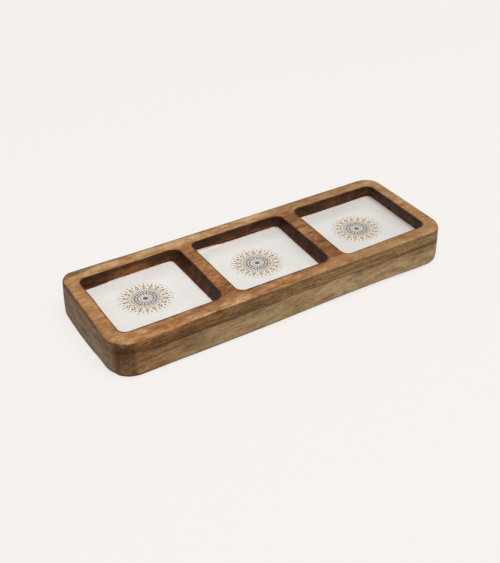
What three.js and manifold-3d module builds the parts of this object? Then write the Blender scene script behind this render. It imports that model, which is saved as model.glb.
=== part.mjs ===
// Wooden centerpiece tray: two glued boards, with a row of square pockets that have enamelled floors.
// Millimetres, +Z up, the long side along X, the origin under the middle of the underside.
import * as THREE from 'three';
import Module from 'manifold-3d';

const wasm = await Module();
wasm.setup();

// Pockets and the wood left round them
const pocketNames = ['left', 'centre', 'right'];
const pocketSide = 103;
const pocketCornerRadius = 10;
const dividerWidth = 18.5;
const railWidth = 17;

// The two boards and the glue between them
const baseThickness = 27;
const glueThickness = 0.2;
const frameThickness = 13.8;

// Outer corners in plan, softer towards the underside
const topCornerRadius = 21.5;
const bottomCornerRadius = 27;

// Sanded edges
const topEdgeRound = 4;
const bottomEdgeRound = 4;
const rimRound = 2;

// Pocket floors, which fill a recess in the lower board up to its top
const enamelThickness = 0.9;
const clearCoatThickness = 0.4;
const insertClearance = 0.3;

// Facets to a quarter turn, and how far a cutter runs past the top
const cornerFacets = 8;
const edgeFacets = 4;
const cutterOverrun = 1;

// Sizes that follow
const pocketPitch = pocketSide + dividerWidth;
const pocketRowLength = pocketPitch * pocketNames.length - dividerWidth;
const trayLength = pocketRowLength + 2 * railWidth;
const trayWidth = pocketSide + 2 * railWidth;
const frameBottom = baseThickness + glueThickness;
const trayHeight = frameBottom + frameThickness;
const recessFloor = baseThickness - enamelThickness - clearCoatThickness;

const finishes = {
  frameWood: new THREE.MeshStandardMaterial({ color: 0xa8743f, roughness: 0.55, metalness: 0 }),
  baseWood: new THREE.MeshStandardMaterial({ color: 0x8d6f4a, roughness: 0.6, metalness: 0 }),
  driedGlue: new THREE.MeshStandardMaterial({ color: 0x4b3221, roughness: 0.7, metalness: 0 }),
  whiteEnamel: new THREE.MeshStandardMaterial({ color: 0xe6e4e0, roughness: 0.25, metalness: 0 }),
  clearCoat: new THREE.MeshStandardMaterial({
    color: 0xf6f4f0,
    roughness: 0.12,
    metalness: 0,
    transparent: true,
    opacity: 0.3,
  }),
};

// One level of a loft: a rectangle with round corners, anticlockwise, at height z
function roundedRing(length, width, radius, z) {
  const points = [];
  const corners = [[1, 1], [-1, 1], [-1, -1], [1, -1]];
  corners.forEach(([sideX, sideY], corner) => {
    const centreX = sideX * (length / 2 - radius);
    const centreY = sideY * (width / 2 - radius);
    for (let step = 0; step <= cornerFacets; step += 1) {
      const angle = (corner + step / cornerFacets) * (Math.PI / 2);
      const x = centreX + radius * Math.cos(angle);
      const y = centreY + radius * Math.sin(angle);
      points.push(new THREE.Vector3(x, y, z));
    }
  });
  return points;
}

// A closed skin over rings of equal point count, lowest first, with a flat cap at each end
function loft(rings) {
  const count = rings[0].length;
  const points = rings.flat();
  const triangles = [];
  for (let level = 0; level < rings.length - 1; level += 1) {
    for (let point = 0; point < count; point += 1) {
      const a = level * count + point;
      const b = level * count + (point + 1) % count;
      triangles.push(a, b, b + count, a, b + count, a + count);
    }
  }
  const lastLevel = (rings.length - 1) * count;
  const bottomMiddle = points.push(new THREE.Vector3(0, 0, rings[0][0].z)) - 1;
  const topMiddle = points.push(new THREE.Vector3(0, 0, rings.at(-1)[0].z)) - 1;
  for (let point = 0; point < count; point += 1) {
    const next = (point + 1) % count;
    triangles.push(bottomMiddle, next, point);
    triangles.push(topMiddle, lastLevel + point, lastLevel + next);
  }
  const geometry = new THREE.BufferGeometry().setFromPoints(points);
  geometry.setIndex(triangles);
  geometry.computeVertexNormals();
  return geometry;
}

// The steps of a quarter round: how far each lies along the first face and away from it
function quarterRound(radius) {
  return Array.from({ length: edgeFacets + 1 }, (_, step) => {
    const angle = (step / edgeFacets) * (Math.PI / 2);
    return { along: radius * Math.sin(angle), away: radius * (1 - Math.cos(angle)) };
  });
}

// One level of the tray's outside, drawn in by inset where an edge is rounded
function outsideRing(z, inset = 0) {
  const cornerRadius = THREE.MathUtils.lerp(bottomCornerRadius, topCornerRadius, z / trayHeight);
  return roundedRing(trayLength - 2 * inset, trayWidth - 2 * inset, cornerRadius - inset, z);
}

// One level of a pocket, grown by outset where its rim is rounded
function pocketRing(z, outset = 0) {
  const side = pocketSide + 2 * outset;
  return roundedRing(side, side, pocketCornerRadius + outset, z);
}

function asSolid(geometry) {
  const vertProperties = new Float32Array(geometry.attributes.position.array);
  const triVerts = new Uint32Array(geometry.index.array);
  return new wasm.Manifold(new wasm.Mesh({ numProp: 3, vertProperties, triVerts }));
}

function asGeometry(solid) {
  const { vertProperties, triVerts } = solid.getMesh();
  const geometry = new THREE.BufferGeometry();
  geometry.setAttribute('position', new THREE.BufferAttribute(vertProperties, 3));
  geometry.setIndex(new THREE.BufferAttribute(triVerts, 1));
  geometry.computeVertexNormals();
  return geometry;
}

function pocketX(index) {
  return (index - (pocketNames.length - 1) / 2) * pocketPitch;
}

// The space of one pocket, from its recess floor up past the rounded rim
function pocketSpace(index) {
  const rim = quarterRound(rimRound).map(
    ({ along, away }) => pocketRing(trayHeight - rimRound + along, away),
  );
  const rings = [pocketRing(recessFloor), ...rim, pocketRing(trayHeight + cutterOverrun, rimRound)];
  return loft(rings).translate(pocketX(index), 0, 0);
}

function withPockets(geometry) {
  let solid = asSolid(geometry);
  pocketNames.forEach((_, index) => {
    solid = solid.subtract(asSolid(pocketSpace(index)));
  });
  return asGeometry(solid);
}

function piece(name, geometry, finish) {
  const mesh = new THREE.Mesh(geometry, finish);
  mesh.name = name;
  return mesh;
}

// Lower board: a rounded underside edge, straight sides, a shallow recess under each pocket
function baseBoard() {
  const edge = quarterRound(bottomEdgeRound).reverse().map(
    ({ along, away }) => outsideRing(bottomEdgeRound - along, away),
  );
  return withPockets(loft([...edge, outsideRing(baseThickness)]));
}

function glueFilm() {
  return withPockets(loft([outsideRing(baseThickness), outsideRing(frameBottom)]));
}

// Upper board: straight sides, a rounded top edge, a window for each pocket
function frameBoard() {
  const edge = quarterRound(topEdgeRound).map(
    ({ along, away }) => outsideRing(trayHeight - topEdgeRound + along, away),
  );
  return withPockets(loft([outsideRing(frameBottom), ...edge]));
}

// A flat sheet that lies in a pocket, clear of its walls
function pocketSheet(thickness) {
  const bottom = pocketRing(0, -insertClearance);
  const top = pocketRing(thickness, -insertClearance);
  return loft([bottom, top]);
}

// The enamel and clear coat of one pocket, one on the other on the recess floor
function pocketFloor(name, index) {
  const enamel = piece(`enamel_${name}`, pocketSheet(enamelThickness), finishes.whiteEnamel);
  const clearCoat = piece(`clear_coat_${name}`, pocketSheet(clearCoatThickness), finishes.clearCoat);
  clearCoat.position.z = enamelThickness;
  const floor = new THREE.Group().add(enamel, clearCoat);
  floor.position.set(pocketX(index), 0, recessFloor);
  return floor;
}

const tray = new THREE.Group();
tray.add(
  piece('base_board', baseBoard(), finishes.baseWood),
  piece('glue_film', glueFilm(), finishes.driedGlue),
  piece('frame_board', frameBoard(), finishes.frameWood),
  ...pocketNames.map(pocketFloor),
);

export default tray;
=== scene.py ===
import math
from functools import partial
from types import SimpleNamespace

import bpy
from mathutils import Matrix, Vector, noise


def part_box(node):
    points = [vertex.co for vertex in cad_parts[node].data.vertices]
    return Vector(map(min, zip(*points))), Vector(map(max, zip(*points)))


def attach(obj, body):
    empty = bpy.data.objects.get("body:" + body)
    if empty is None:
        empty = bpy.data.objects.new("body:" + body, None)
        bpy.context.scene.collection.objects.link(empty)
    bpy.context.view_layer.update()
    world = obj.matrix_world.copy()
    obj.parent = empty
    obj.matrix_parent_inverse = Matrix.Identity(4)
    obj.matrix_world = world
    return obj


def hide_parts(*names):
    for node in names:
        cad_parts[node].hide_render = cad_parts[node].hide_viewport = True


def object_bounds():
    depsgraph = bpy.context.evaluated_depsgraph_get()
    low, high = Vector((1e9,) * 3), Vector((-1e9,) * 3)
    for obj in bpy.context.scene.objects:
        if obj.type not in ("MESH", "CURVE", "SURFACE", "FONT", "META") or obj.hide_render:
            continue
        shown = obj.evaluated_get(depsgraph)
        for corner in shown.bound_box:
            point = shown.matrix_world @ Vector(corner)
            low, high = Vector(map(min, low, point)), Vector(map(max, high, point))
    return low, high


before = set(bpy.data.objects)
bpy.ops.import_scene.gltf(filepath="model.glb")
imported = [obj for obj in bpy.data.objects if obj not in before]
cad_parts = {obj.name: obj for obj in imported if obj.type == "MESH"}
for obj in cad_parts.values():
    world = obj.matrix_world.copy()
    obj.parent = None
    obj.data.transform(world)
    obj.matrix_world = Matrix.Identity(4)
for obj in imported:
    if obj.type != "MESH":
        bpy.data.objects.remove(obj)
cadLow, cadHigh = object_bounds()
scene = bpy.context.scene
scene.view_settings.view_transform = "Standard"
print("frame loaded,", len(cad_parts), "nodes")

pocketNames = ["left", "centre", "right"]
baseLow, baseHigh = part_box("base_board")
glueLow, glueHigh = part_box("glue_film")
frameLow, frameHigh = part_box("frame_board")

# Sizes shared by the boards, in metres
tray = {
    "pocketSide": 0.103,
    "pocketCorner": 0.010,
    "builtCorner": 0.014,    # uprights are rounded this far, then sanded to the corners below
    "topRound": 0.0045,
    "bottomRound": 0.004,
    "rimRound": 0.0013,
    "cornerSteps": 14,
    "roundSteps": 7,
    "sliceStep": 0.005,
    "overrun": 0.005,        # how far a cutter runs past the wood
    "baseLevels": [0.0055, 0.0075, 0.010, 0.014, 0.020],
    "frameLevels": [0.0283, 0.0295, 0.031, 0.0335],
    "railMiddle": (0.178, 0.056),    # edges beyond these belong to the outside
    "pocketsEnd": (0.1765, 0.0552),  # stain on the pocket walls stays within these
    "sharpEdge": 50,         # degrees, as are the creases
    "woodCrease": 40,
    "enamelCrease": 60,
}
hair = 1e-6                  # closer than this is touching
touch = 1e-5                 # and this for points that went through a tool
pocketPlaces = {}
for name in pocketNames:
    enamelLow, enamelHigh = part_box("enamel_" + name)
    pocketPlaces[name] = round((enamelLow.x + enamelHigh.x) / 2, 6)


# Modelling steps

def useMode(mode):
    bpy.ops.object.mode_set(mode=mode)


def deselectAll():
    if bpy.context.object and bpy.context.object.mode != "OBJECT":
        useMode("OBJECT")
    bpy.ops.object.select_all(action="DESELECT")


def takeUp(piece):
    deselectAll()
    piece.select_set(True)
    bpy.context.view_layer.objects.active = piece


def nameNew(name):
    piece = bpy.context.object
    piece.name = name
    piece.data.name = name
    return piece


def addBlock(name, low, high):
    deselectAll()
    bpy.ops.mesh.primitive_cube_add(size=1, location=(low + high) / 2, scale=high - low)
    block = nameNew(name)
    bpy.ops.object.transform_apply(location=True, rotation=True, scale=True)
    return block


def clearPick(piece, kind):
    takeUp(piece)
    useMode("EDIT")
    bpy.ops.mesh.select_mode(type=kind)
    bpy.ops.mesh.select_all(action="DESELECT")
    useMode("OBJECT")


def pickEdges(piece, wanted):
    clearPick(piece, "EDGE")
    mesh = piece.data
    facing = {}
    for face in mesh.polygons:
        for key in face.edge_keys:
            facing.setdefault(key, []).append(face.normal.copy())
    for edge in mesh.edges:
        sides = facing.get(edge.key, [])
        if len(sides) == 2 and sides[0].angle(sides[1]) > math.radians(tray["sharpEdge"]):
            a, b = (mesh.vertices[end].co for end in edge.vertices)
            edge.select = wanted(a, b)
    useMode("EDIT")


def pickFaces(piece, wanted):
    clearPick(piece, "FACE")
    for face in piece.data.polygons:
        face.select = wanted(face.normal)
    useMode("EDIT")


def roundEdges(piece, wanted, radius, steps):
    pickEdges(piece, wanted)
    bpy.ops.mesh.bevel(offset=radius, segments=steps, profile=0.5, affect="EDGES", clamp_overlap=False)
    useMode("OBJECT")


def upright(a, b):
    return abs(a.x - b.x) + abs(a.y - b.y) < hair


def edgesAt(height, outside):
    # level edges of the outside, or else of the pockets
    railX, railY = tray["railMiddle"]

    def wanted(a, b):
        level = abs(a.z - height) < hair and abs(b.z - height) < hair
        return level and all((abs(p.x) > railX or abs(p.y) > railY) == outside for p in (a, b))
    return wanted


def addPocketBlock(name, pocket, floor, roof):
    half = tray["pocketSide"] / 2
    place = pocketPlaces[pocket]
    block = addBlock(name, Vector((place - half, -half, floor)), Vector((place + half, half, roof)))
    roundEdges(block, upright, tray["pocketCorner"], tray["cornerSteps"])
    return block


def cutPockets(piece, floor, roof):
    for name in pocketNames:
        cutter = addPocketBlock("cutter_" + name, name, floor, roof)
        takeUp(piece)
        cut = piece.modifiers.new("pocket", "BOOLEAN")
        cut.operation = "DIFFERENCE"
        cut.solver = "EXACT"
        cut.object = cutter
        bpy.ops.object.modifier_apply(modifier=cut.name)
        bpy.data.objects.remove(cutter)


def slicePiece(piece, normal, places):
    takeUp(piece)
    useMode("EDIT")
    for place in places:
        bpy.ops.mesh.select_all(action="SELECT")
        bpy.ops.mesh.bisect(plane_co=normal * place, plane_no=normal)
    useMode("OBJECT")


def evenPlaces(low, high, step):
    count = max(1, round((high - low) / step))
    return [low + (high - low) * turn / count for turn in range(1, count)]


def slicePlan(piece, low, high):
    slicePiece(piece, Vector((1, 0, 0)), evenPlaces(low.x, high.x, tray["sliceStep"]))
    slicePiece(piece, Vector((0, 1, 0)), evenPlaces(low.y, high.y, tray["sliceStep"]))


def smoothShade(piece, degrees):
    takeUp(piece)
    useMode("EDIT")
    bpy.ops.mesh.select_all(action="SELECT")
    bpy.ops.mesh.remove_doubles(threshold=hair)
    bpy.ops.mesh.normals_make_consistent(inside=False)
    useMode("OBJECT")
    bpy.ops.object.shade_smooth_by_angle(angle=math.radians(degrees))
    evened = piece.modifiers.new("evened", "WEIGHTED_NORMAL")
    evened.keep_sharp = True
    bpy.ops.object.modifier_apply(modifier=evened.name)


def finishPiece(piece, slot, *nodes):
    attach(piece, "root")
    if nodes:
        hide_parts(*nodes)
    print(piece.name, len(piece.data.polygons), "faces")


# Hand sanding: the same small moves for every piece, so that joints stay closed

handwork = {
    "corners": {             # plan radius of each corner at the top and at the underside
        (-1, -1): (0.0252, 0.0266),
        (-1, 1): (0.0145, 0.0200),
        (1, -1): (0.0226, 0.0268),
        (1, 1): (0.0198, 0.0258),
    },
    "endPull": {             # how far each end stands in, front and back: at the top, then underneath
        -1: ((0.0014, 0.0038), (0.0006, 0.0)),
        1: ((0.0036, 0.0003), (0.0010, 0.0)),
    },
    "crisp": {               # share of the built top round that is left
        "front": 0.36,
        "back": 1.0,
        "left": 0.58,
        "right": 0.6,
        "frontLeft": 0.85,
        "backLeft": 0.56,
    },
    "wornX": (-0.095, -0.130),  # where the front left corner is worn
    "wornY": (-0.015, -0.045),
    "sparedX": (-0.105, -0.145),  # and where the back left one is spared
    "sparedY": (0.015, 0.045),
    "outsideWave": 0.0005,   # how far the belt took the sides in, in places
    "outsideWaveSize": 0.045,
    "wallWave": 0.0004,      # wander of the pocket walls
    "wallWaveSize": 0.030,
    "underWave": 0.0010,     # extra round under the edge, in places
    "frontScoop": 0.0045,    # the front is rounder underneath towards the right
    "frontScoopX": (-0.060, 0.080),
    "frontScoopEase": (0.105, 0.150),
    "rightFoot": 0.0080,     # the front right corner is rounder there still
    "rightFootX": (0.140, 0.175),
    "rightFootY": (-0.040, 0.040),
    "leftFoot": (0.0020, -0.0008, 0.0026),  # the left end is rounder underneath at its two corners
    "leftFootX": (-0.150, -0.175),
    "leftFootFront": (-0.005, -0.035),
    "leftFootBack": (0.010, 0.055),
    "topFade": 0.008,        # how far in the drawn out top round is felt
    "fadeStart": 0.005,      # depths between which the sanding of the outside fades
    "fadeEnd": 0.0165,
    "fadeEndUnder": 0.034,   # for the underside, up to the height below
    "underside": 0.001,
    "rimCorner": 0.0085,     # pocket corners at the rim, and tighter at the floor
    "floorCorner": 0.0055,
    "wallDrift": {           # how far a wall stands off at its two ends, along the rim and then the foot
        ("left", "right"): (0.0008, 0.0030, -0.0022, -0.0020),
        ("left", "back"): (-0.0008, -0.0006, 0.0, 0.0),
        ("centre", "right"): (-0.0006, 0.0036, -0.0034, 0.0022),
        ("centre", "front"): (0.0004, 0.0008, 0.0004, 0.0008),
        ("centre", "left"): (0.0006, 0.0, 0.0006, 0.0),
        ("centre", "back"): (-0.0009, -0.0013, 0.0, 0.0),
        ("right", "right"): (-0.0022, 0.0022, -0.0010, 0.0040),
        ("right", "front"): (0.0024, 0.0006, 0.0024, 0.0006),
        ("right", "left"): (0.0016, -0.0030, 0.0016, -0.0030),
        ("right", "back"): (-0.0007, -0.0010, -0.0009, 0.0006),
    },
    "wallBulge": {("left", "right"): 0.0014, ("centre", "right"): 0.0008, ("left", "back"): -0.0008},
    "wallReach": 0.006,      # how far into the wood a moved wall is felt
    "stainStart": (0.0001, 0.0011),  # depths between which the stain on the walls sets in
    "rimLean": 0.0008,       # the rim line, stain with painted shade, reaches further over the front and left rims
    "footRuns": {            # stain pooled along the foot of a back wall: from, to, how far it comes out
        "left": [(-0.1740, -0.1500, 0.0020), (-0.1530, -0.1410, 0.0012)],
    },
    "footRunHeight": (0.0275, 0.0315),
}


def smoothStep(value, low, high):
    share = min(1.0, max(0.0, (value - low) / (high - low)))
    return share * share * (3 - 2 * share)


def waver(point, size, seed):
    return noise.noise(Vector((point.x / size + seed, point.y / size - seed, point.z / size * 0.4)))


def roundInset(height, radius):
    if height >= radius:
        return 0.0
    return radius - math.sqrt(max(0.0, radius * radius - (radius - height) ** 2))


def underRound(point, frontward):
    extra = handwork["underWave"] * (0.5 + 0.5 * waver(Vector((point.x, point.y, 0)), 0.05, 7.3))
    along = smoothStep(point.x, *handwork["frontScoopX"])
    along *= 1 - 0.40 * smoothStep(point.x, *handwork["frontScoopEase"])
    turned = smoothStep(point.x, *handwork["rightFootX"])
    turned *= 1 - smoothStep(point.y, *handwork["rightFootY"])
    forward = smoothStep(frontward, 0.15, 0.95)
    extra += handwork["frontScoop"] * along * forward
    extra += handwork["rightFoot"] * turned * (1 - forward)
    footFront, foot, footBack = handwork["leftFoot"]
    leftward = smoothStep(point.x, *handwork["leftFootX"]) * (1 - smoothStep(frontward, 0.15, 0.60))
    foot += (footFront - foot) * smoothStep(point.y, *handwork["leftFootFront"])
    foot += (footBack - foot) * smoothStep(point.y, *handwork["leftFootBack"])
    extra += leftward * foot
    return tray["bottomRound"] + extra


def planDirection(overX, overY):
    if overX > 0 and overY > 0:
        reach = math.hypot(overX, overY)
        return overX / reach, overY / reach, reach
    if overX > overY:
        return 1.0, 0.0, overX
    return 0.0, 1.0, overY


def drawOut(depth, keep):
    # a built round of the top edge drawn out towards the sharp corner
    built = tray["topRound"]
    if depth <= built:
        return depth * keep
    return depth - (1 - keep) * built * (1 - smoothStep(depth, built, built + handwork["topFade"]))


def outlineDepth(point, corner):
    # how far inside the outline with this corner radius, and which way is out
    overX = abs(point.x) - (cadHigh.x - corner)
    overY = abs(point.y) - (cadHigh.y - corner)
    alongX, alongY, reach = planDirection(overX, overY)
    return corner - reach, alongX, alongY


def endPull(sideX, point):
    backward = 0.5 + 0.5 * point.y / cadHigh.y
    (topFront, topBack), (underFront, underBack) = handwork["endPull"][sideX]
    high = topFront + (topBack - topFront) * backward
    low = underFront + (underBack - underFront) * backward
    return low + (high - low) * (point.z / cadHigh.z) ** 2


def sandOutside(point):
    sideX = 1 if point.x > 0 else -1
    sideY = 1 if point.y > 0 else -1
    inside, alongX, alongY = outlineDepth(point, tray["builtCorner"])
    fadeEnd = handwork["fadeEndUnder"] if point.z < handwork["underside"] else handwork["fadeEnd"]
    share = 1 - smoothStep(inside, handwork["fadeStart"], fadeEnd)
    if share == 0:
        return point
    moved = point.copy()
    wanted = inside
    drop = cadHigh.z - point.z
    crisp = handwork["crisp"]
    keep = alongX ** 2 * crisp["right" if sideX > 0 else "left"]
    keep += alongY ** 2 * crisp["back" if sideY > 0 else "front"]
    worn = smoothStep(point.x, *handwork["wornX"]) * smoothStep(point.y, *handwork["wornY"])
    keep += (crisp["frontLeft"] - keep) * worn
    spared = smoothStep(point.x, *handwork["sparedX"]) * smoothStep(point.y, *handwork["sparedY"])
    keep += (crisp["backLeft"] - keep) * spared
    if drop < tray["topRound"]:
        wanted = drawOut(inside, keep)
    if inside < tray["topRound"]:
        moved.z = cadHigh.z - drawOut(drop, keep)
    wave = 0.5 + 0.5 * waver(point, handwork["outsideWaveSize"], 2.1)
    wanted += handwork["outsideWave"] * wave * share
    under = underRound(point, -sideY * alongY)
    wanted += roundInset(point.z, under) - roundInset(point.z, tray["bottomRound"])
    wanted += alongX * endPull(sideX, point)
    topCorner, underCorner = handwork["corners"][(sideX, sideY)]
    corner = underCorner + (topCorner - underCorner) * (point.z / cadHigh.z)
    there, alongX, alongY = outlineDepth(point, corner)
    pull = (wanted - there) * share
    moved.x -= sideX * alongX * pull
    moved.y -= sideY * alongY * pull
    return moved


def footRun(name, point, alongY):
    run = 0.0
    for start, end, height in handwork["footRuns"].get(name, []):
        middle, reach = (start + end) / 2, (end - start) / 2
        run = max(run, height * (1 - smoothStep(abs(point.x - middle), 0.45 * reach, reach)))
    foot = 1 - smoothStep(point.z, *handwork["footRunHeight"])
    return run * foot * (alongY if point.y > 0 else 0.0)


def standOff(name, side, along, rise):
    rimStart, rimEnd, footStart, footEnd = handwork["wallDrift"].get((name, side), (0.0, 0.0, 0.0, 0.0))
    share = 0.5 + 0.5 * along
    rim = rimStart + (rimEnd - rimStart) * share
    rim += handwork["wallBulge"].get((name, side), 0.0) * (1 - along * along)
    foot = footStart + (footEnd - footStart) * share
    return foot + (rim - foot) * rise


def sandPocket(point, wood):
    half = tray["pocketSide"] / 2
    corner = tray["pocketCorner"]
    for name, place in pocketPlaces.items():
        fromX = abs(point.x - place) - half
        fromY = abs(point.y) - half
        if max(fromX, fromY) > handwork["wallReach"]:
            continue
        past = planDirection(fromX + corner, fromY + corner)[2] - corner
        outer = 1 - smoothStep(past, 0.0015, handwork["wallReach"])
        rise = smoothStep(point.z, baseHigh.z, cadHigh.z - 0.002)
        tight = handwork["floorCorner"] + (handwork["rimCorner"] - handwork["floorCorner"]) * rise
        alongX, alongY, reach = planDirection(fromX + tight, fromY + tight)
        push = past - (reach - tight)
        push += handwork["wallWave"] * waver(point, handwork["wallWaveSize"], 5.7)
        if wood:
            push -= footRun(name, point, alongY)
        push *= outer * smoothStep(past, -0.007, -0.002)
        moved = point.copy()
        moved.x += math.copysign(alongX, point.x - place) * push
        moved.y += math.copysign(alongY, point.y) * push

        # the whole pocket is a little out of square
        u = min(1.0, max(-1.0, (point.x - place) / half))
        v = min(1.0, max(-1.0, point.y / half))
        moved.x += standOff(name, "right", v, rise) * outer * (1 + u) / 2
        moved.x -= standOff(name, "left", v, rise) * outer * (1 - u) / 2
        moved.y += standOff(name, "back", u, rise) * outer * (1 + v) / 2
        moved.y -= standOff(name, "front", u, rise) * outer * (1 - v) / 2
        return moved
    return point


def pastWall(point, place):
    inset = tray["pocketSide"] / 2 - tray["pocketCorner"]
    alongX, alongY, reach = planDirection(abs(point.x - place) - inset, abs(point.y) - inset)
    lean = math.copysign(0.4 * alongX, point.x - place) + math.copysign(alongY, point.y)
    return reach - tray["pocketCorner"], lean


def keepRim(piece, distances):
    piece.data.attributes.new("fromRim", "FLOAT", "POINT").data.foreach_set("value", distances)


def sandByHand(piece):
    fromRim = []
    for vertex in piece.data.vertices:
        past, lean = min(pastWall(vertex.co, place) for place in pocketPlaces.values())
        fromRim.append(past + handwork["rimLean"] * (1 + lean))
        vertex.co = sandOutside(sandPocket(vertex.co.copy(), True))
    keepRim(piece, fromRim)
    piece.data.update()


def markFinish(piece):
    # which way each point faces, and how far it lies down a pocket wall
    mesh = piece.data
    endX, endY = tray["pocketsEnd"]
    facing = []
    pocketWall = []
    for vertex in mesh.vertices:
        outward = vertex.normal.copy()
        if baseHigh.z - touch < vertex.co.z < frameLow.z + touch:
            outward.z = 0.0          # of the joint only the side is seen
            outward.normalize()
        facing.extend(outward)
        inPocket = abs(vertex.co.x) < endX and abs(vertex.co.y) < endY
        depth = cadHigh.z - vertex.co.z
        pocketWall.append(smoothStep(depth, *handwork["stainStart"]) if inPocket else 0.0)
    mesh.attributes.new("facing", "FLOAT_VECTOR", "POINT").data.foreach_set("vector", facing)
    mesh.attributes.new("pocketWall", "FLOAT", "POINT").data.foreach_set("value", pocketWall)


# Boards

def finishBoard(piece, low, high, levels):
    slicePlan(piece, low, high)
    slicePiece(piece, Vector((0, 0, 1)), levels)
    sandByHand(piece)
    smoothShade(piece, tray["woodCrease"])
    markFinish(piece)
    return piece


def addBoard(name, low, high):
    board = addBlock(name, low, high)
    roundEdges(board, upright, tray["builtCorner"], tray["cornerSteps"])
    return board


def buildBase():
    base = addBoard("base_wood", baseLow, baseHigh)
    roundEdges(base, edgesAt(baseLow.z, True), tray["bottomRound"], tray["roundSteps"])
    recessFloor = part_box("enamel_left")[0].z
    cutPockets(base, recessFloor, baseHigh.z + tray["overrun"])
    return finishBoard(base, baseLow, baseHigh, tray["baseLevels"])


def buildFrame():
    top = addBoard("frame_wood", frameLow, frameHigh)
    cutPockets(top, frameLow.z - tray["overrun"], frameHigh.z + tray["overrun"])
    roundEdges(top, edgesAt(frameHigh.z, True), tray["topRound"], tray["roundSteps"])
    roundEdges(top, edgesAt(frameHigh.z, False), tray["rimRound"], tray["roundSteps"])
    return finishBoard(top, frameLow, frameHigh, tray["frameLevels"])


def buildGlue():
    film = addBoard("glue_line", glueLow, glueHigh)
    cutPockets(film, glueLow.z - tray["overrun"], glueHigh.z + tray["overrun"])
    return finishBoard(film, glueLow, glueHigh, [])


# Pocket floors

pour = {
    "brim": 0.0014,          # width of the brim that climbs the walls
    "brimRings": 3,
    "creep": 0.00015,        # how far it climbs
    "creepSize": 0.018,
    "sink": 0.00004,         # the print stands this far above the enamel
    "climbs": {              # along the back wall: from, to, height
        "centre": [(-0.044, -0.006, 0.0026)],
        "right": [(0.074, 0.100, 0.0010)],
    },
    "climbEase": 0.004,
    "backPart": (0.030, 0.048),
}


def climbAt(name, point):
    climb = pour["creep"] * (1 + 0.7 * waver(point, pour["creepSize"], 3.3))
    atBack = smoothStep(point.y, *pour["backPart"])
    for start, end, height in pour["climbs"].get(name, []):
        climb += height * atBack * smoothStep(point.x, end, start + pour["climbEase"])
    return climb


def buildFloor(name):
    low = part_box("enamel_" + name)[0]
    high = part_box("clear_coat_" + name)[1]
    half = tray["pocketSide"] / 2
    place = pocketPlaces[name]
    floor = addPocketBlock("enamel_floor_" + name, name, low.z, high.z)
    pickFaces(floor, lambda normal: normal.z > 0.9)
    for ring in range(pour["brimRings"]):
        bpy.ops.mesh.inset(thickness=pour["brim"] / 2, depth=0)
    useMode("OBJECT")
    slicePiece(floor, Vector((1, 0, 0)), evenPlaces(place - half, place + half, tray["sliceStep"]))
    slicePiece(floor, Vector((0, 1, 0)), evenPlaces(-half, half, tray["sliceStep"]))
    fromRim = []
    for vertex in floor.data.vertices:
        point = vertex.co.copy()
        past = pastWall(point, place)[0]
        fromRim.append(past)
        if point.z > high.z - touch:
            brim = min(1.0, max(0.0, 1 + past / pour["brim"]))
            point.z += climbAt(name, point) * brim ** 3 - pour["sink"]
        vertex.co = sandPocket(point, False)
    keepRim(floor, fromRim)
    smoothShade(floor, tray["enamelCrease"])
    return floor


base = buildBase()
top = buildFrame()
film = buildGlue()
floors = {name: buildFloor(name) for name in pocketNames}
print("boards and floors modelled")


# Node helpers

def fill(tree, node, inputs):
    for label, value in inputs.items():
        if isinstance(value, bpy.types.NodeSocket):
            tree.links.new(value, node.inputs[label])
        else:
            node.inputs[label].default_value = value


def addNode(tree, kind, inputs=None, **settings):
    node = tree.nodes.new(kind)
    for setting, value in settings.items():
        setattr(node, setting, value)
    fill(tree, node, inputs or {})
    return node


def reckon(tree, operation, first, second=0.0, third=0.0, clamp=False):
    inputs = {0: first, 1: second, 2: third}
    return addNode(tree, "ShaderNodeMath", inputs, operation=operation, use_clamp=clamp).outputs[0]


def times(tree, product, *others):
    for other in others:
        product = reckon(tree, "MULTIPLY", product, other)
    return product


def timesPlus(tree, value, amount, start, clamp=False):
    return reckon(tree, "MULTIPLY_ADD", value, amount, start, clamp)


def tinted(colour):
    return (*colour, 1.0)


def mixColour(tree, factor, first, second, blend="MIX"):
    inputs = {0: factor, 6: first, 7: second}
    return addNode(tree, "ShaderNodeMix", inputs, data_type="RGBA", blend_type=blend).outputs[2]


def shade(tree, mask, colour, tint):
    return mixColour(tree, mask, colour, tinted(tint), "MULTIPLY")


def shadeAll(tree, colour, finish, masks):
    # one after the other, each mask with the tint that has its name
    for label, mask in masks.items():
        colour = shade(tree, mask, colour, finish[label])
    return colour


def spread(tree, value, low, high, toLow=0.0, toHigh=1.0):
    inputs = {"Value": value, "From Min": low, "From Max": high, "To Min": toLow, "To Max": toHigh}
    return addNode(tree, "ShaderNodeMapRange", inputs, interpolation_type="SMOOTHSTEP").outputs["Result"]


def aside(tree, value, middle):
    return reckon(tree, "ABSOLUTE", reckon(tree, "SUBTRACT", value, middle))


def split(tree, vector):
    return addNode(tree, "ShaderNodeSeparateXYZ", {0: vector}).outputs


def vectorMath(tree, operation, first, second):
    socket = "Scale" if operation == "SCALE" else 1
    return addNode(tree, "ShaderNodeVectorMath", {0: first, socket: second}, operation=operation).outputs[0]


def cloud(tree, vector, scale=1.0, detail=3.0, roughness=0.55, distortion=0.0, output="Fac"):
    inputs = {
        "Vector": vector,
        "Scale": scale,
        "Detail": detail,
        "Roughness": roughness,
        "Distortion": distortion,
    }
    return addNode(tree, "ShaderNodeTexNoise", inputs).outputs[output]


def streaky(tree, vector, amounts, **settings):
    # clouds drawn out along the axis with the least amount
    return cloud(tree, vectorMath(tree, "MULTIPLY", vector, amounts), **settings)


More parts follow.
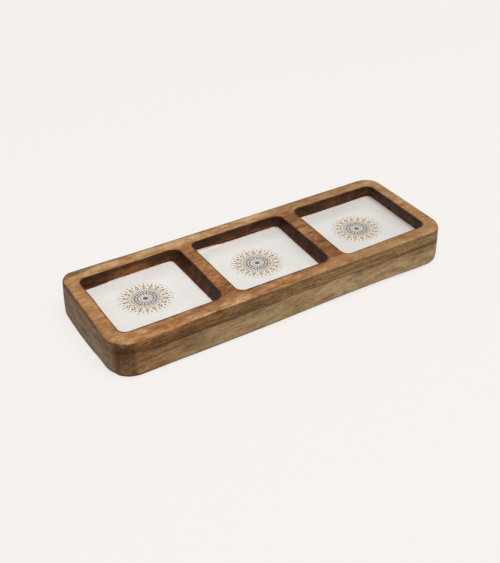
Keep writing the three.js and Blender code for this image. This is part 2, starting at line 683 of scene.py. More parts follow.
def colourRamp(tree, value, stops):
    node = addNode(tree, "ShaderNodeValToRGB", {"Fac": value})
    ramp = node.color_ramp
    while len(ramp.elements) < len(stops):
        ramp.elements.new(0.5)
    for element, (place, colour) in zip(ramp.elements, stops):
        element.position = place
        element.color = tinted(colour)
    return node.outputs["Color"]


def newGroup(name, sockets):
    group = bpy.data.node_groups.new(name, "ShaderNodeTree")
    for label, kind in sockets.items():
        group.interface.new_socket(label, in_out="INPUT", socket_type=kind)
    return group, group.nodes.new("NodeGroupInput").outputs


def giveOut(group, made):
    kinds = {"VALUE": "NodeSocketFloat", "RGBA": "NodeSocketColor"}
    for label, socket in made.items():
        group.interface.new_socket(label, in_out="OUTPUT", socket_type=kinds[socket.type])
    addNode(group, "NodeGroupOutput", made)


def placeGroup(tree, group, inputs):
    return addNode(tree, "ShaderNodeGroup", inputs, node_tree=group).outputs


def newMaterial(name):
    material = bpy.data.materials.new(name)
    material.use_nodes = True
    tree = material.node_tree
    return material, tree, tree.nodes["Principled BSDF"]


def objectPlace(tree):
    return addNode(tree, "ShaderNodeTexCoord").outputs["Object"]


def attribute(tree, name):
    return addNode(tree, "ShaderNodeAttribute", attribute_name=name, attribute_type="GEOMETRY")


# Board grain, cut from a log whose heart runs along X under the board

def buildGrainGroup():
    group, inner = newGroup(
        "board grain",
        {
            "Vector": "NodeSocketVector",
            "Seed": "NodeSocketVector",
            "Heart Depth": "NodeSocketFloat",
            "Ring Scale": "NodeSocketFloat",
            "Wander": "NodeSocketFloat",
        },
    )
    place = vectorMath(group, "ADD", inner["Vector"], inner["Seed"])
    drift = streaky(group, place, (7.0, 16.0, 16.0), output="Color")
    drift = vectorMath(group, "SUBTRACT", drift, (0.5, 0.5, 0.5))
    drift = vectorMath(group, "SCALE", drift, inner["Wander"])
    bent = vectorMath(group, "ADD", place, drift)
    parts = split(group, bent)
    depth = reckon(group, "ADD", parts["Z"], inner["Heart Depth"])
    across = times(group, parts["Y"], parts["Y"])
    radius = reckon(group, "SQRT", timesPlus(group, depth, depth, across))
    ringPlace = addNode(
        group,
        "ShaderNodeCombineXYZ",
        {
            "X": times(group, parts["X"], 5.0),
            "Y": times(group, radius, inner["Ring Scale"]),
            "Z": times(group, parts["Y"], 9.0),
        },
    ).outputs[0]
    rings = cloud(group, ringPlace, detail=4.0, roughness=0.6)
    patches = streaky(group, bent, (30.0, 62.0, 62.0), detail=5.0, roughness=0.62)
    mottle = streaky(group, bent, (95.0, 190.0, 190.0), detail=4.0, roughness=0.6)
    redness = streaky(group, bent, (44.0, 58.0, 58.0), distortion=0.6, output="Color")
    redness = addNode(group, "ShaderNodeSeparateColor", {0: redness}).outputs["Green"]
    fibre = streaky(group, place, (70.0, 620.0, 620.0), roughness=0.6)
    flecks = streaky(group, bent, (46.0, 480.0, 480.0), roughness=0.65)
    endStreaks = streaky(group, bent, (60.0, 34.0, 330.0), detail=4.0, roughness=0.62)
    dashes = streaky(group, bent, (300.0, 780.0, 780.0), detail=2.0)
    giveOut(
        group,
        {
            "Rings": spread(group, rings, 0.34, 0.66),
            "Lines": spread(group, aside(group, rings, 0.47), 0.075, 0.0),
            "Patches": spread(group, patches, 0.36, 0.64),
            "Mottle": spread(group, mottle, 0.36, 0.64),
            "Redness": spread(group, redness, 0.46, 0.66),
            "Fibre": reckon(group, "SUBTRACT", fibre, 0.5),
            "Flecks": reckon(group, "SUBTRACT", flecks, 0.5),
            "End Streaks": spread(group, endStreaks, 0.34, 0.64),
            "Pores": spread(group, dashes, 0.51, 0.66),
        },
    )
    return group


grainGroup = buildGrainGroup()


# Glue soaked into both boards along the joint, more of it towards the right

def buildGlueStainGroup():
    group, inner = newGroup("glue stain", {"Vector": "NodeSocketVector", "Reach": "NodeSocketFloat"})
    axes = split(group, inner["Vector"])
    ragged = streaky(group, inner["Vector"], (90.0, 90.0, 20.0))
    away = aside(group, axes["Z"], glueLow.z + 0.0001)
    reach = times(group, inner["Reach"], timesPlus(group, ragged, 1.6, 0.2))
    near = reckon(group, "SUBTRACT", 1.0, reckon(group, "DIVIDE", away, reach), clamp=True)
    near = reckon(group, "POWER", near, 1.6)
    along = spread(group, axes["X"], -0.170, -0.148, 0.12, 0.55)
    along = reckon(group, "ADD", along, spread(group, axes["X"], 0.05, 0.10, 0.0, 0.45))
    patchy = spread(group, cloud(group, inner["Vector"], 34.0, 2.0), 0.3, 0.55, 0.65, 1.0)
    giveOut(group, {"Stain": times(group, near, along, patchy)})
    return group


# Dark upright streaks where the front left corner was sanded through the grain

def buildCornerGroup():
    group, inner = newGroup("corner streaks", {"Vector": "NodeSocketVector", "Facing": "NodeSocketVector"})
    axes = split(group, inner["Vector"])
    forward = times(group, split(group, inner["Facing"])["Y"], -1.0)
    turned = times(group, spread(group, forward, 0.40, 0.68), spread(group, forward, 0.998, 0.965))
    streaks = streaky(group, inner["Vector"], (130.0, 130.0, 16.0))
    streaks = spread(group, streaks, 0.36, 0.64, 0.60, 1.0)
    left = spread(group, axes["X"], -0.140, -0.162)
    front = spread(group, axes["Y"], -0.030, -0.050)
    giveOut(group, {"Streaks": times(group, turned, left, front, streaks)})
    return group


glueStainGroup = buildGlueStainGroup()
cornerGroup = buildCornerGroup()


def cornerStreaks(tree, place, outward):
    return placeGroup(tree, cornerGroup, {"Vector": place, "Facing": outward})["Streaks"]


def glueStain(tree, place, reach):
    return placeGroup(tree, glueStainGroup, {"Vector": place, "Reach": reach})["Stain"]


def startBoard(name, finish):
    # the nodes that every side of a board is worked out from
    material, tree, shader = newMaterial(name)
    place = objectPlace(tree)
    axes = split(tree, place)
    alongX, alongY, alongZ = (partial(spread, tree, axis) for axis in axes)
    outward = attribute(tree, "facing").outputs["Vector"]
    facing = split(tree, outward)
    log = {
        "Vector": place,
        "Seed": finish["seed"],
        "Heart Depth": finish["heartDepth"],
        "Ring Scale": finish["ringScale"],
        "Wander": finish["wander"],
    }
    return SimpleNamespace(
        material=material,
        tree=tree,
        shader=shader,
        place=place,
        axes=axes,
        alongX=alongX,
        alongY=alongY,
        alongZ=alongZ,
        facing=facing,
        corner=cornerStreaks(tree, place, outward),
        # painted shade on the right end and its rounds
        paintedRightEndShade=spread(tree, facing["X"], 0.62, 0.86),
        grain=placeGroup(tree, grainGroup, log),
    )


def weigh(tree, *pairs):
    # sum of masks, each times its weight
    total = 0.0
    for socket, amount in pairs:
        total = timesPlus(tree, socket, amount, total)
    return total


def endwise(board, colour, endColour):
    # the board's ends show other grain than its long sides
    turned = reckon(board.tree, "ABSOLUTE", board.facing["X"])
    return mixColour(board.tree, spread(board.tree, turned, 0.72, 0.98), colour, endColour)


def endGrain(board, stops):
    streaks, patches, mottle = (board.grain[name] for name in ("End Streaks", "Patches", "Mottle"))
    tone = weigh(board.tree, (streaks, 0.55), (patches, 0.25), (mottle, 0.20))
    return colourRamp(board.tree, tone, stops)


def finishWood(board, finish, colour, roughness):
    relief = timesPlus(board.tree, board.grain["Pores"], -0.7, board.grain["Fibre"])
    bump = {"Strength": 0.5, "Distance": finish["bumpHeight"], "Height": relief}
    inputs = {
        "Base Color": colour,
        "Roughness": roughness,
        "Specular IOR Level": finish["specular"],
        "Normal": addNode(board.tree, "ShaderNodeBump", bump).outputs["Normal"],
    }
    fill(board.tree, board.shader, inputs)
    return board.material


# Upper board

frameFinish = {
    "seed": (0.31, 0.12, 0.05),
    "heartDepth": 0.10,
    "ringScale": 300.0,
    "wander": 0.014,
    "top": [
        (0.0, (0.185, 0.076, 0.027)),
        (0.35, (0.305, 0.142, 0.053)),
        (0.62, (0.400, 0.208, 0.086)),
        (1.0, (0.600, 0.385, 0.200)),
    ],
    "red": (0.90, 0.74, 0.60),
    "dry": (1.05, 1.22, 1.40),
    # painted shade on the rounded back edge, the right end and the back left corner
    "paintedShoulderShade": (0.42, 0.42, 0.39),
    "side": [(0.0, (0.080, 0.042, 0.018)), (0.5, (0.205, 0.113, 0.047)), (1.0, (0.360, 0.225, 0.105))],
    "sideLeft": (1.02, 0.87, 0.75),
    "paintedBrowShade": (0.72, 0.72, 0.70),      # painted shade just under the top edge
    # painted shade just under the top edge of the ends
    "paintedEndBrowShade": (0.74, 0.66, 0.57),
    # painted shade on the right end
    "paintedRightEndShade": (0.60, 0.62, 0.60),
    "end": [(0.0, (0.080, 0.046, 0.024)), (0.5, (0.230, 0.132, 0.068)), (1.0, (0.370, 0.232, 0.130))],
    "stain": [(0.0, (0.029, 0.010, 0.004)), (0.5, (0.094, 0.031, 0.009)), (1.0, (0.245, 0.096, 0.026))],
    # painted shade on the walls that face left
    "paintedWallShade": (0.79, 0.75, 0.70),
    "pools": [               # places along the walls with less or more stain: middle, reach, tone
        (-0.155, 0.022, -0.16),
        (-0.120, 0.028, 0.28),
        (-0.042, 0.020, -0.20),
        (0.003, 0.028, 0.13),
        (0.053, 0.009, -0.14),
    ],
    "cornerStain": (0.40, 0.35, 0.30),
    "rimStainAndShade": (0.30, 0.20, 0.16),   # stain over the rims, with painted shade on their rounds
    "glueShade": (0.25, 0.165, 0.105),
    "poreShade": (0.50, 0.42, 0.36),
    "bumpHeight": 0.0002,
    "specular": 0.12,
}


def shoulderShadeOfFrame(board):
    # painted shade along the rounded back edge, over the right end and round the back left corner
    tree, axes, alongX = board.tree, board.axes, board.alongX
    flecks = board.grain["Flecks"]
    backward = weigh(tree, (flecks, 0.004), (alongX(-0.145, -0.170), 0.004), (axes["Y"], 1.0))
    mask = times(tree, spread(tree, backward, 0.0605, 0.0655), alongX(-0.120, 0.060, 1.0, 0.7))
    rightward = timesPlus(tree, flecks, 0.5, board.facing["X"])
    rightward = times(tree, spread(tree, rightward, 0.20, 0.55), alongX(0.160, 0.175))
    mask = timesPlus(tree, rightward, 0.7, mask, clamp=True)
    cornerward = weigh(tree, (axes["X"], -0.5), (axes["Y"], 0.87), (flecks, 0.004))
    return timesPlus(tree, spread(tree, cornerward, 0.1385, 0.1435), 0.8, mask, clamp=True)


def topOfFrame(board):
    # paler along the back on the left, darker across the dividers, calmer and drier to the right
    tree, axes, grain = board.tree, board.axes, board.grain
    alongX, alongY = board.alongX, board.alongY
    atBack = alongY(0.040, 0.060)
    backLeft = times(tree, atBack, alongX(0.100, 0.035), alongX(-0.172, -0.140, 0.40, 1.0))
    divider = spread(tree, reckon(tree, "ABSOLUTE", axes["Y"]), 0.056, 0.046)
    divider = times(tree, divider, spread(tree, reckon(tree, "ABSOLUTE", axes["X"]), 0.095, 0.080))
    figure = weigh(
        tree,
        (grain["Rings"], 0.12),
        (grain["Patches"], 0.38),
        (grain["Mottle"], 0.36),
        (grain["Fibre"], 0.70),
        (grain["Flecks"], 0.60),
    )
    calm = times(tree, alongX(-0.030, 0.090, 1.0, 0.62), alongX(-0.160, -0.177, 1.0, 0.55))
    lively = alongX(-0.040, 0.040, 0.15, 0.70)
    calm = timesPlus(tree, divider, lively, calm)
    figure = times(tree, reckon(tree, "SUBTRACT", figure, 0.43), calm)
    # painted highlight on the top along the front edge, darker near the middle of the front
    frontEdgeHighlight = times(tree, alongY(-0.0610, -0.0655), alongX(0.090, 0.110, 1.0, 0.35))
    frontEdgeHighlight = times(tree, frontEdgeHighlight, alongX(-0.155, -0.125, 0.5, 1.0))
    edgeTone = spread(tree, aside(tree, axes["X"], -0.010), 0.012, 0.030, -0.12, 0.16)
    backTone = spread(tree, aside(tree, axes["X"], 0.075), 0.040, 0.020, 0.0, -0.10)
    tone = weigh(
        tree,
        (figure, 1.0),
        (backLeft, 0.43),
        (atBack, backTone),
        (frontEdgeHighlight, edgeTone),
        (divider, alongX(-0.040, 0.040, -0.07, -0.16)),
        (alongX(-0.166, -0.177), 0.22),
        (alongX(0.120, 0.177), 0.09),
    )
    tone = reckon(tree, "ADD", tone, 0.44)
    colour = colourRamp(tree, tone, frameFinish["top"])
    red = reckon(tree, "SUBTRACT", grain["Redness"], backLeft, clamp=True)
    red = timesPlus(tree, divider, 0.3, red, clamp=True)
    dry = times(tree, alongX(0.040, 0.130), alongY(-0.060, 0.060, 0.70, 1.0))
    dryBack = times(tree, atBack, alongX(-0.060, 0.020, 0.0, 0.35))
    dry = reckon(tree, "ADD", dry, dryBack)
    masks = {"red": red, "dry": dry, "paintedShoulderShade": shoulderShadeOfFrame(board)}
    return shadeAll(tree, colour, frameFinish, masks)


def sideOfFrame(board, worn):
    # red brown on the left, olive brown from there on
    tree, grain = board.tree, board.grain
    alongX, alongZ = board.alongX, board.alongZ
    tone = weigh(
        tree,
        (grain["Rings"], 0.24),
        (grain["Lines"], -0.26),
        (grain["Patches"], 0.22),
        (grain["Mottle"], 0.16),
        (grain["Fibre"], alongX(0.0, 0.080, 0.90, 1.20)),
        (grain["Flecks"], alongX(0.0, 0.080, 0.80, 1.35)),
        (alongX(-0.060, 0.070, 0.24, 0.57), 1.0),
        (alongX(-0.100, -0.125), alongZ(0.0285, 0.0360, -0.10, 0.10)),
    )
    colour = colourRamp(tree, tone, frameFinish["side"])
    colour = shade(tree, alongX(-0.050, -0.120), colour, frameFinish["sideLeft"])
    endColour = endGrain(board, frameFinish["end"])
    # painted shade under the top edge of the ends
    paintedEndBrowShade = spread(tree, timesPlus(tree, grain["Patches"], 0.003, board.axes["Z"]), 0.0345, 0.0390)
    endColour = shade(tree, paintedEndBrowShade, endColour, frameFinish["paintedEndBrowShade"])
    masks = {
        "cornerStain": board.corner,
        # painted shade on the right end
        "paintedRightEndShade": board.paintedRightEndShade,
        # painted shade just under the top edge
        "paintedBrowShade": times(tree, alongZ(0.0350, 0.0395), reckon(tree, "SUBTRACT", 1.0, worn)),
    }
    return shadeAll(tree, endwise(board, colour, endColour), frameFinish, masks)


def wallOfFrame(board):
    # dark stain that ran and pooled, with painted shade under the rim, painted light from the floor lower
    # down and painted shade on the walls that face left
    tree, grain = board.tree, board.grain
    tone = weigh(
        tree,
        (grain["Patches"], 0.40),
        (grain["Mottle"], 0.30),
        (grain["Rings"], 0.16),
        (grain["Fibre"], 0.45),
        (grain["Flecks"], 0.70),
        # darker just under the rim and lighter lower down: painted shade under the rim and painted light
        # from the floor
        (board.alongZ(0.0400, 0.0300, -0.24, 0.08), 1.0),
    )
    for middle, reach, amount in frameFinish["pools"]:
        here = spread(tree, aside(tree, board.axes["X"], middle), reach, reach / 2)
        tone = timesPlus(tree, here, amount, tone)
    colour = colourRamp(tree, tone, frameFinish["stain"])
    # painted shade on the walls that face left
    leftFacing = spread(tree, board.facing["X"], -0.35, -0.85)
    return shade(tree, leftFacing, colour, frameFinish["paintedWallShade"])


def frameMaterial():
    board = startBoard("oiled frame wood", frameFinish)
    tree, grain = board.tree, board.grain
    worn = times(tree, board.alongX(*handwork["wornX"]), board.alongY(*handwork["wornY"]))
    upness = timesPlus(tree, grain["Flecks"], 0.55, reckon(tree, "ABSOLUTE", board.facing["Z"]))
    side = spread(tree, timesPlus(tree, worn, 0.34, upness), 0.80, 0.60)
    colour = mixColour(tree, side, topOfFrame(board), sideOfFrame(board, worn))
    # a dark line over the rims: stain, and painted shade on the rounded rim edges
    rim = timesPlus(tree, grain["Fibre"], 0.002, attribute(tree, "fromRim").outputs["Fac"])
    masks = {
        "poreShade": times(tree, grain["Pores"], timesPlus(tree, side, 0.55, 0.35)),
        "glueShade": glueStain(tree, board.place, board.alongX(0.050, 0.130, 0.0020, 0.0044)),
        "rimStainAndShade": spread(tree, rim, 0.0032, 0.0014, 0.0, 0.8),
    }
    colour = shadeAll(tree, colour, frameFinish, masks)
    wall = attribute(tree, "pocketWall").outputs["Fac"]
    colour = mixColour(tree, wall, colour, wallOfFrame(board))
    rough = timesPlus(tree, grain["Fibre"], 0.24, 0.54)
    rough = timesPlus(tree, wall, -0.12, rough)
    return finishWood(board, frameFinish, colour, rough)


# Lower board

baseFinish = {
    "seed": (-0.22, 0.43, 0.11),
    "heartDepth": 0.14,
    "ringScale": 240.0,
    "wander": 0.016,
    "side": [(0.0, (0.165, 0.098, 0.045)), (0.5, (0.365, 0.243, 0.122)), (1.0, (0.540, 0.395, 0.220))],
    "sideLeft": (0.94, 0.78, 0.70),
    "end": [(0.0, (0.103, 0.068, 0.036)), (0.5, (0.247, 0.168, 0.095)), (1.0, (0.361, 0.258, 0.152))],
    "cornerStain": (0.32, 0.28, 0.25),
    # painted shade on the right end
    "paintedRightEndShade": (0.60, 0.62, 0.60),
    "glueShade": (0.44, 0.32, 0.22),
    "seam": (0.44, 0.38, 0.32),
    # painted shade along the rounded underside edge
    "paintedFootShade": (0.38, 0.35, 0.30),
    "poreShade": (0.56, 0.50, 0.45),
    "bumpHeight": 0.0002,
    "specular": 0.12,
}


def baseMaterial():
    board = startBoard("oiled base wood", baseFinish)
    tree, axes, grain = board.tree, board.axes, board.grain
    alongX, alongZ = board.alongX, board.alongZ

    # slanting figure across the middle, where the cut met the grain at an angle
    turn = {"Vector": board.place, "Rotation": (0.0, math.radians(24), 0.0)}
    slanted = addNode(tree, "ShaderNodeMapping", turn).outputs["Vector"]
    figure = streaky(tree, slanted, (26.0, 60.0, 260.0))
    figure = spread(tree, figure, 0.34, 0.64, -0.5, 0.5)
    middle = spread(tree, reckon(tree, "ABSOLUTE", axes["X"]), 0.110, 0.030, 0.25, 1.0)
    figure = times(tree, figure, middle)
    upward = alongZ(0.004, 0.026, -1.0, 1.0)
    tone = weigh(
        tree,
        (grain["Rings"], 0.18),
        (grain["Lines"], -0.14),
        (grain["Patches"], 0.28),
        (reckon(tree, "SUBTRACT", grain["Patches"], 0.5), alongX(0.020, 0.090, 0.0, 0.20)),
        (grain["Mottle"], 0.14),
        (grain["Fibre"], 0.80),
        (grain["Flecks"], alongX(0.020, 0.090, 0.45, 0.80)),
        (figure, 0.22),
        (alongX(-0.100, 0.130, 0.19, 0.32), 1.0),
        (spread(tree, aside(tree, axes["X"], 0.020), 0.035, 0.012), -0.06),
        (upward, alongX(*handwork["wornX"], 0.0, -0.09)),
        (upward, alongX(0.010, 0.110, 0.0, -0.14)),
    )
    colour = colourRamp(tree, tone, baseFinish["side"])
    colour = shade(tree, alongX(-0.085, -0.160), colour, baseFinish["sideLeft"])
    colour = endwise(board, colour, endGrain(board, baseFinish["end"]))
    seam = spread(tree, timesPlus(tree, grain["Flecks"], 0.002, axes["Z"]), 0.0243, 0.0262)
    along = times(tree, alongX(0.010, -0.030, 0.0, 0.9), alongX(-0.170, -0.148, 0.10, 1.0))
    along = timesPlus(tree, alongX(0.085, 0.110), 0.35, along)
    masks = {
        "cornerStain": board.corner,
        "glueShade": glueStain(tree, board.place, 0.0008),
        # painted shade on the right end
        "paintedRightEndShade": board.paintedRightEndShade,
        "seam": times(tree, seam, along),
        # painted shade along the rounded underside edge
        "paintedFootShade": alongZ(0.0052, 0.0020, 0.0, 0.9),
        "poreShade": times(tree, grain["Pores"], 0.6),
    }
    colour = shadeAll(tree, colour, baseFinish, masks)
    rough = timesPlus(tree, grain["Fibre"], 0.24, 0.58)
    return finishWood(board, baseFinish, colour, rough)


# Glue, pale where it was wiped off while wet

glueFinish = {
    "wiped": (0.125, 0.078, 0.044),
    "dark": (0.050, 0.024, 0.009),
    "light": (0.120, 0.060, 0.024),
    "specular": 0.2,
}


def glueMaterial():
    material, tree, shader = newMaterial("dried glue")
    place = objectPlace(tree)
    axes = split(tree, place)
    speck = streaky(tree, place, (90.0, 90.0, 400.0))
    colour = colourRamp(tree, speck, [(0.35, glueFinish["dark"]), (0.65, glueFinish["light"])])
    wiped = spread(tree, axes["X"], -0.150, -0.168)
    colour = mixColour(tree, wiped, colour, tinted(glueFinish["wiped"]))
    outward = attribute(tree, "facing").outputs["Vector"]
    corner = cornerStreaks(tree, place, outward)
    colour = shade(tree, corner, colour, frameFinish["cornerStain"])
    rough = timesPlus(tree, speck, 0.3, 0.5)
    inputs = {"Base Color": colour, "Roughness": rough, "Specular IOR Level": glueFinish["specular"]}
    fill(tree, shader, inputs)
    return material


# Enamel

enamelFinish = {
    "white": (0.860, 0.845, 0.825),
    "shade": (0.820, 0.803, 0.780),
    # grey is painted shade: the floors greyer towards the right
    "grey": (0.90, 0.905, 0.90),
    # near is painted shade: the floors darker towards the front rail
    "near": (0.958, 0.960, 0.962),
    "border": (0.56, 0.45, 0.36),
    "coat": {"Specular IOR Level": 0.35, "Coat Weight": 0.35, "Coat Roughness": 0.10},
}


def enamelMaterial():
    material, tree, shader = newMaterial("white enamel")
    place = objectPlace(tree)
    drift = cloud(tree, place, scale=38.0)
    colour = colourRamp(tree, drift, [(0.35, enamelFinish["shade"]), (0.62, enamelFinish["white"])])
    axes = split(tree, place)
    edge = attribute(tree, "fromRim").outputs["Fac"]
    ragged = cloud(tree, place, scale=240.0)
    edge = timesPlus(tree, reckon(tree, "SUBTRACT", ragged, 0.5), 0.0022, edge)
    masks = {
        # painted shade: the floors greyer towards the right
        "grey": spread(tree, axes["X"], -0.070, 0.130),
        # painted shade: the floors darker towards the front rail
        "near": spread(tree, axes["Y"], 0.030, -0.010),
        "border": spread(tree, edge, -0.0013, 0.0, 0.0, 0.75),
    }
    colour = shadeAll(tree, colour, enamelFinish, masks)
    rough = timesPlus(tree, drift, 0.12, 0.22)
    ripple = cloud(tree, place, scale=60.0, detail=1.0)
    bump = addNode(tree, "ShaderNodeBump", {"Strength": 0.3, "Distance": 0.0003, "Height": ripple})
    fill(tree, shader, {"Base Color": colour, "Roughness": rough, "Normal": bump.outputs["Normal"]})
    fill(tree, shader, enamelFinish["coat"])
    return material


# Printed rosette on each floor: leafy sprays round a hub

rosette = {
    "places": {"left": (-0.1240, 0.0050), "centre": (-0.0020, 0.0), "right": (0.1215, -0.0005)},
    "sprays": 18,
    "hub": 0.0024,
    "stem": (0.0020, 0.0190, 0.00085),       # from, to, width
    "leafLength": 0.0036,
    "leafWidth": 0.0018,
    "leafAngle": 36,
    "leafNarrowing": 0.35,                   # how far the ends are narrowed
    "stemNarrowing": 0.3,
    "leafPairs": [                           # radius, stand-off, size, ink
        (0.0078, 0.0008, 0.50, "brown"),
        (0.0106, 0.0012, 0.62, "brown"),
        (0.0136, 0.0017, 0.75, "gold"),
        (0.0168, 0.0021, 0.88, "gold"),
        (0.0200, 0.0022, 0.95, "gold"),
    ],
    "tip": 0.0228,
    "between": [                             # radius, size, ink
        (0.0120, 0.5, "grey"),
        (0.0185, 0.6, "brown"),
        (0.0216, 0.7, "brown"),
        (0.0246, 0.8, "gold"),
    ],
    "ring": (0.0266, 72, 0.00085),           # radius, dots, size of a dot
    "thickness": 0.00008,
    "inks": {
        "gold": ((0.58, 0.37, 0.135), (0.36, 0.205, 0.070)),
        "brown": ((0.115, 0.072, 0.046), (0.055, 0.034, 0.023)),
        "grey": ((0.40, 0.385, 0.375), (0.25, 0.235, 0.23)),
    },
}


def buildSpeckleGroup():
    group, inner = newGroup(
        "ink speckle",
        {"Vector": "NodeSocketVector", "Light": "NodeSocketColor", "Deep": "NodeSocketColor"},
    )
    speck = cloud(group, inner["Vector"], scale=420.0)
    colour = mixColour(group, spread(group, speck, 0.36, 0.62), inner["Deep"], inner["Light"])
    giveOut(group, {"Colour": colour, "Roughness": timesPlus(group, speck, 0.15, 0.24)})
    return group


speckleGroup = buildSpeckleGroup()


def inkMaterial(name):
    material, tree, shader = newMaterial(name + " ink")
    light, deep = rosette["inks"][name]
    inputs = {"Vector": objectPlace(tree), "Light": tinted(light), "Deep": tinted(deep)}
    speckle = placeGroup(tree, speckleGroup, inputs)
    fill(tree, shader, {"Base Color": speckle["Colour"], "Roughness": speckle["Roughness"]})
    fill(tree, shader, enamelFinish["coat"])
    return material


def addInkShape(name, ink, length, width, sides, narrowing=0.0):
    # a disc drawn out along X and given its thickness, then narrowed towards its ends
    deselectAll()
    bpy.ops.mesh.primitive_circle_add(vertices=sides, radius=0.5, fill_type="NGON", location=(0, 0, 0))
    shape = nameNew(name)
    useMode("EDIT")
    bpy.ops.mesh.select_all(action="SELECT")
    bpy.ops.transform.resize(value=(length, width, 1))
    bpy.ops.mesh.extrude_region_move(TRANSFORM_OT_translate={"value": (0, 0, rosette["thickness"])})
    useMode("OBJECT")
    for vertex in shape.data.vertices:
        vertex.co.y *= 1 - narrowing * (2 * vertex.co.x / length) ** 2
    useMode("EDIT")
    bpy.ops.mesh.select_all(action="SELECT")
    bpy.ops.mesh.normals_make_consistent(inside=False)
    useMode("OBJECT")
    shape.data.materials.append(ink)
    return shape


def addCopy(shape):
    copy = shape.copy()
    copy.data = shape.data.copy()
    scene.collection.objects.link(copy)
    return copy


def putCopy(shape, radius, angle, turn=0.0, off=0.0, size=1.0):
    copy = addCopy(shape)
    place = Matrix.Rotation(angle, 4, "Z") @ Matrix.Translation((radius, off, 0))
    copy.data.transform(place @ Matrix.Rotation(turn, 4, "Z") @ Matrix.Diagonal((size, size, 1, 1)))
    return copy


def joinAll(pieces, name):
    deselectAll()
    for piece in pieces:
        piece.select_set(True)
    bpy.context.view_layer.objects.active = pieces[0]
    bpy.ops.object.join()
    return nameNew(name)


def buildRosette():
    inks = {name: inkMaterial(name) for name in rosette["inks"]}
    start, end, stemWidth = rosette["stem"]
    leafSize = (rosette["leafLength"], rosette["leafWidth"])
    stemNarrowing = rosette["stemNarrowing"]
    leaves = {
        name: addInkShape("leaf", ink, *leafSize, sides=10, narrowing=rosette["leafNarrowing"])
        for name, ink in inks.items()
    }
    stem = addInkShape("stem", inks["brown"], end - start, stemWidth, sides=12, narrowing=stemNarrowing)
    dot = addInkShape("dot", inks["grey"], 1.0, 1.0, sides=8)
    hub = addInkShape("hub", inks["brown"], 2 * rosette["hub"], 2 * rosette["hub"], sides=24)
    parts = [hub]
    step = 2 * math.pi / rosette["sprays"]
    slant = math.radians(rosette["leafAngle"])
    for spray in range(rosette["sprays"]):
        angle = spray * step
        parts.append(putCopy(stem, (start + end) / 2, angle))
        for radius, off, size, ink in rosette["leafPairs"]:
            parts.append(putCopy(leaves[ink], radius, angle, slant, off, size))
            parts.append(putCopy(leaves[ink], radius, angle, -slant, -off, size))
        parts.append(putCopy(leaves["gold"], rosette["tip"], angle))
        for radius, size, ink in rosette["between"]:
            parts.append(putCopy(leaves[ink], radius, angle + step / 2, size=size))
    ringRadius, ringDots, dotSize = rosette["ring"]
    for turn in range(ringDots):
        parts.append(putCopy(dot, ringRadius, turn * 2 * math.pi / ringDots, size=dotSize))
    for shape in (*leaves.values(), stem, dot):
        bpy.data.objects.remove(shape)
    return joinAll(parts, "rosette_print")


def layPrints():
    printed = buildRosette()
    prints = {}
    for name, (x, y) in rosette["places"].items():
        copy = addCopy(printed)
        copy.name = "rosette_print_" + name
        copy.data.name = copy.name
        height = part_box("clear_coat_" + name)[1].z - rosette["thickness"]
        copy.data.transform(Matrix.Translation((x, y, height)))
        prints[name] = copy
    bpy.data.objects.remove(printed)
    return prints


prints = layPrints()
print("rosettes printed,", len(prints["left"].data.polygons), "faces each")

top.data.materials.append(frameMaterial())
base.data.materials.append(baseMaterial())
film.data.materials.append(glueMaterial())
whiteEnamel = enamelMaterial()
for floor in floors.values():
    floor.data.materials.append(whiteEnamel)

finishPiece(top, "frame_wood", "frame_board")
finishPiece(base, "base_wood", "base_board")
finishPiece(film, "dried_glue", "glue_film")
for name, floor in floors.items():
    finishPiece(floor, "white_enamel", "enamel_" + name, "clear_coat_" + name)
for piece in prints.values():
    finishPiece(piece, None)
print("finishes set")


# Studio: a pale floor, a wide soft lamp overhead and an even sky

studio = {
    "floorSide": 8.0,
    "floorDrop": 0.0004,     # the floor lies this far under the tray
    "paper": (0.913, 0.879, 0.855),
    "paperGlow": 1.010,
    "floorBounce": (0.62, 0.60, 0.58),
    "shadowShare": 0.15,
    "sky": (1.0, 0.985, 0.965),
    "skyStrength": 0.30,
    "lampPlace": Vector((0.10, -1.60, 3.70)),
    "lampSize": 3.8,
    "lampPower": 152.0,
    "lampColour": (1.0, 0.98, 0.955),
}


def seenDirectly(tree):
    path = addNode(tree, "ShaderNodeLightPath").outputs
    seen = reckon(tree, "MAXIMUM", path["Is Camera Ray"], path["Is Glossy Ray"])
    return reckon(tree, "MAXIMUM", seen, path["Is Transmission Ray"])


def mixShader(tree, share, first, second):
    inputs = {0: share, 1: first.outputs[0], 2: second.outputs[0]}
    return addNode(tree, "ShaderNodeMixShader", inputs)


def clearNodes(owner):
    owner.use_nodes = True
    owner.node_tree.nodes.clear()
    return owner.node_tree


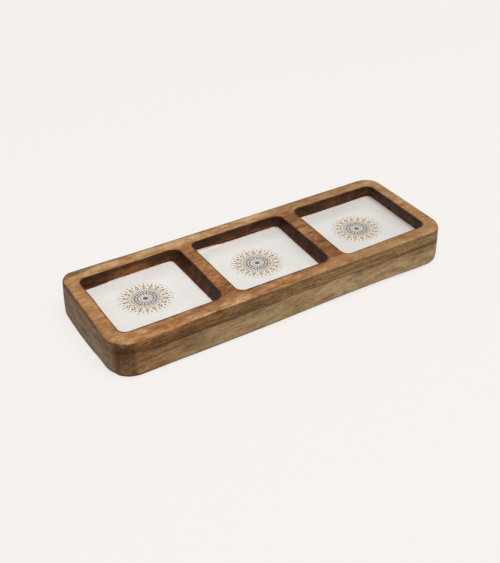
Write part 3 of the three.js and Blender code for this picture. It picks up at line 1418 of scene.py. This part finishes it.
def buildStudioFloor():
    deselectAll()
    bpy.ops.mesh.primitive_plane_add(size=studio["floorSide"], location=(0, 0, -studio["floorDrop"]))
    floor = nameNew("studio_floor")
    bpy.ops.object.transform_apply(location=True, rotation=True, scale=True)
    material = bpy.data.materials.new("studio paper")
    tree = clearNodes(material)
    paperColour = tinted(studio["paper"])
    bounce = addNode(tree, "ShaderNodeBsdfDiffuse", {"Color": tinted(studio["floorBounce"])})
    paper = addNode(tree, "ShaderNodeBsdfDiffuse", {"Color": paperColour})
    glow = addNode(tree, "ShaderNodeEmission", {"Color": paperColour, "Strength": studio["paperGlow"]})
    shown = mixShader(tree, studio["shadowShare"], glow, paper)
    both = mixShader(tree, seenDirectly(tree), bounce, shown)
    addNode(tree, "ShaderNodeOutputMaterial", {"Surface": both.outputs[0]})
    floor.data.materials.append(material)


def buildSky():
    scene.world = bpy.data.worlds.new("studio sky")
    tree = clearNodes(scene.world)
    light = {"Color": tinted(studio["sky"]), "Strength": studio["skyStrength"]}
    sky = addNode(tree, "ShaderNodeBackground", light)
    backdrop = addNode(tree, "ShaderNodeBackground", {"Color": tinted(studio["paper"]), "Strength": 1.0})
    both = mixShader(tree, seenDirectly(tree), sky, backdrop)
    addNode(tree, "ShaderNodeOutputWorld", {"Surface": both.outputs[0]})


def buildLamp():
    bpy.ops.object.light_add(type="AREA", location=studio["lampPlace"])
    lamp = nameNew("soft_lamp")
    lamp.data.shape = "DISK"
    lamp.data.size = studio["lampSize"]
    lamp.data.energy = studio["lampPower"]
    lamp.data.color = studio["lampColour"]
    lamp.rotation_euler = (-studio["lampPlace"]).to_track_quat("-Z", "Y").to_euler()


camera = {
    "azimuth": -29.78,
    "elevation": 33.87,
    "roll": -1.90,
    "target": Vector((-0.0202, -0.01605, 0.020)),
    "distance": 0.9040,
    "lens": 58.24,
    "sensor": 36.0,
}


def buildCamera():
    turn = math.radians(camera["azimuth"])
    rise = math.radians(camera["elevation"])
    back = Vector((math.sin(turn) * math.cos(rise), -math.cos(turn) * math.cos(rise), math.sin(rise)))
    right = Vector((math.cos(turn), math.sin(turn), 0))
    level = Matrix((right, back.cross(right), back)).transposed()
    tilt = Matrix.Rotation(math.radians(camera["roll"]), 3, "Z")
    bpy.ops.object.camera_add(location=camera["target"] + back * camera["distance"])
    eye = nameNew("photo_camera")
    eye.rotation_euler = (level @ tilt).to_euler()
    eye.data.sensor_width = camera["sensor"]
    eye.data.lens = camera["lens"]
    scene.camera = eye


buildStudioFloor()
buildSky()
buildLamp()
buildCamera()
print("studio and camera set")
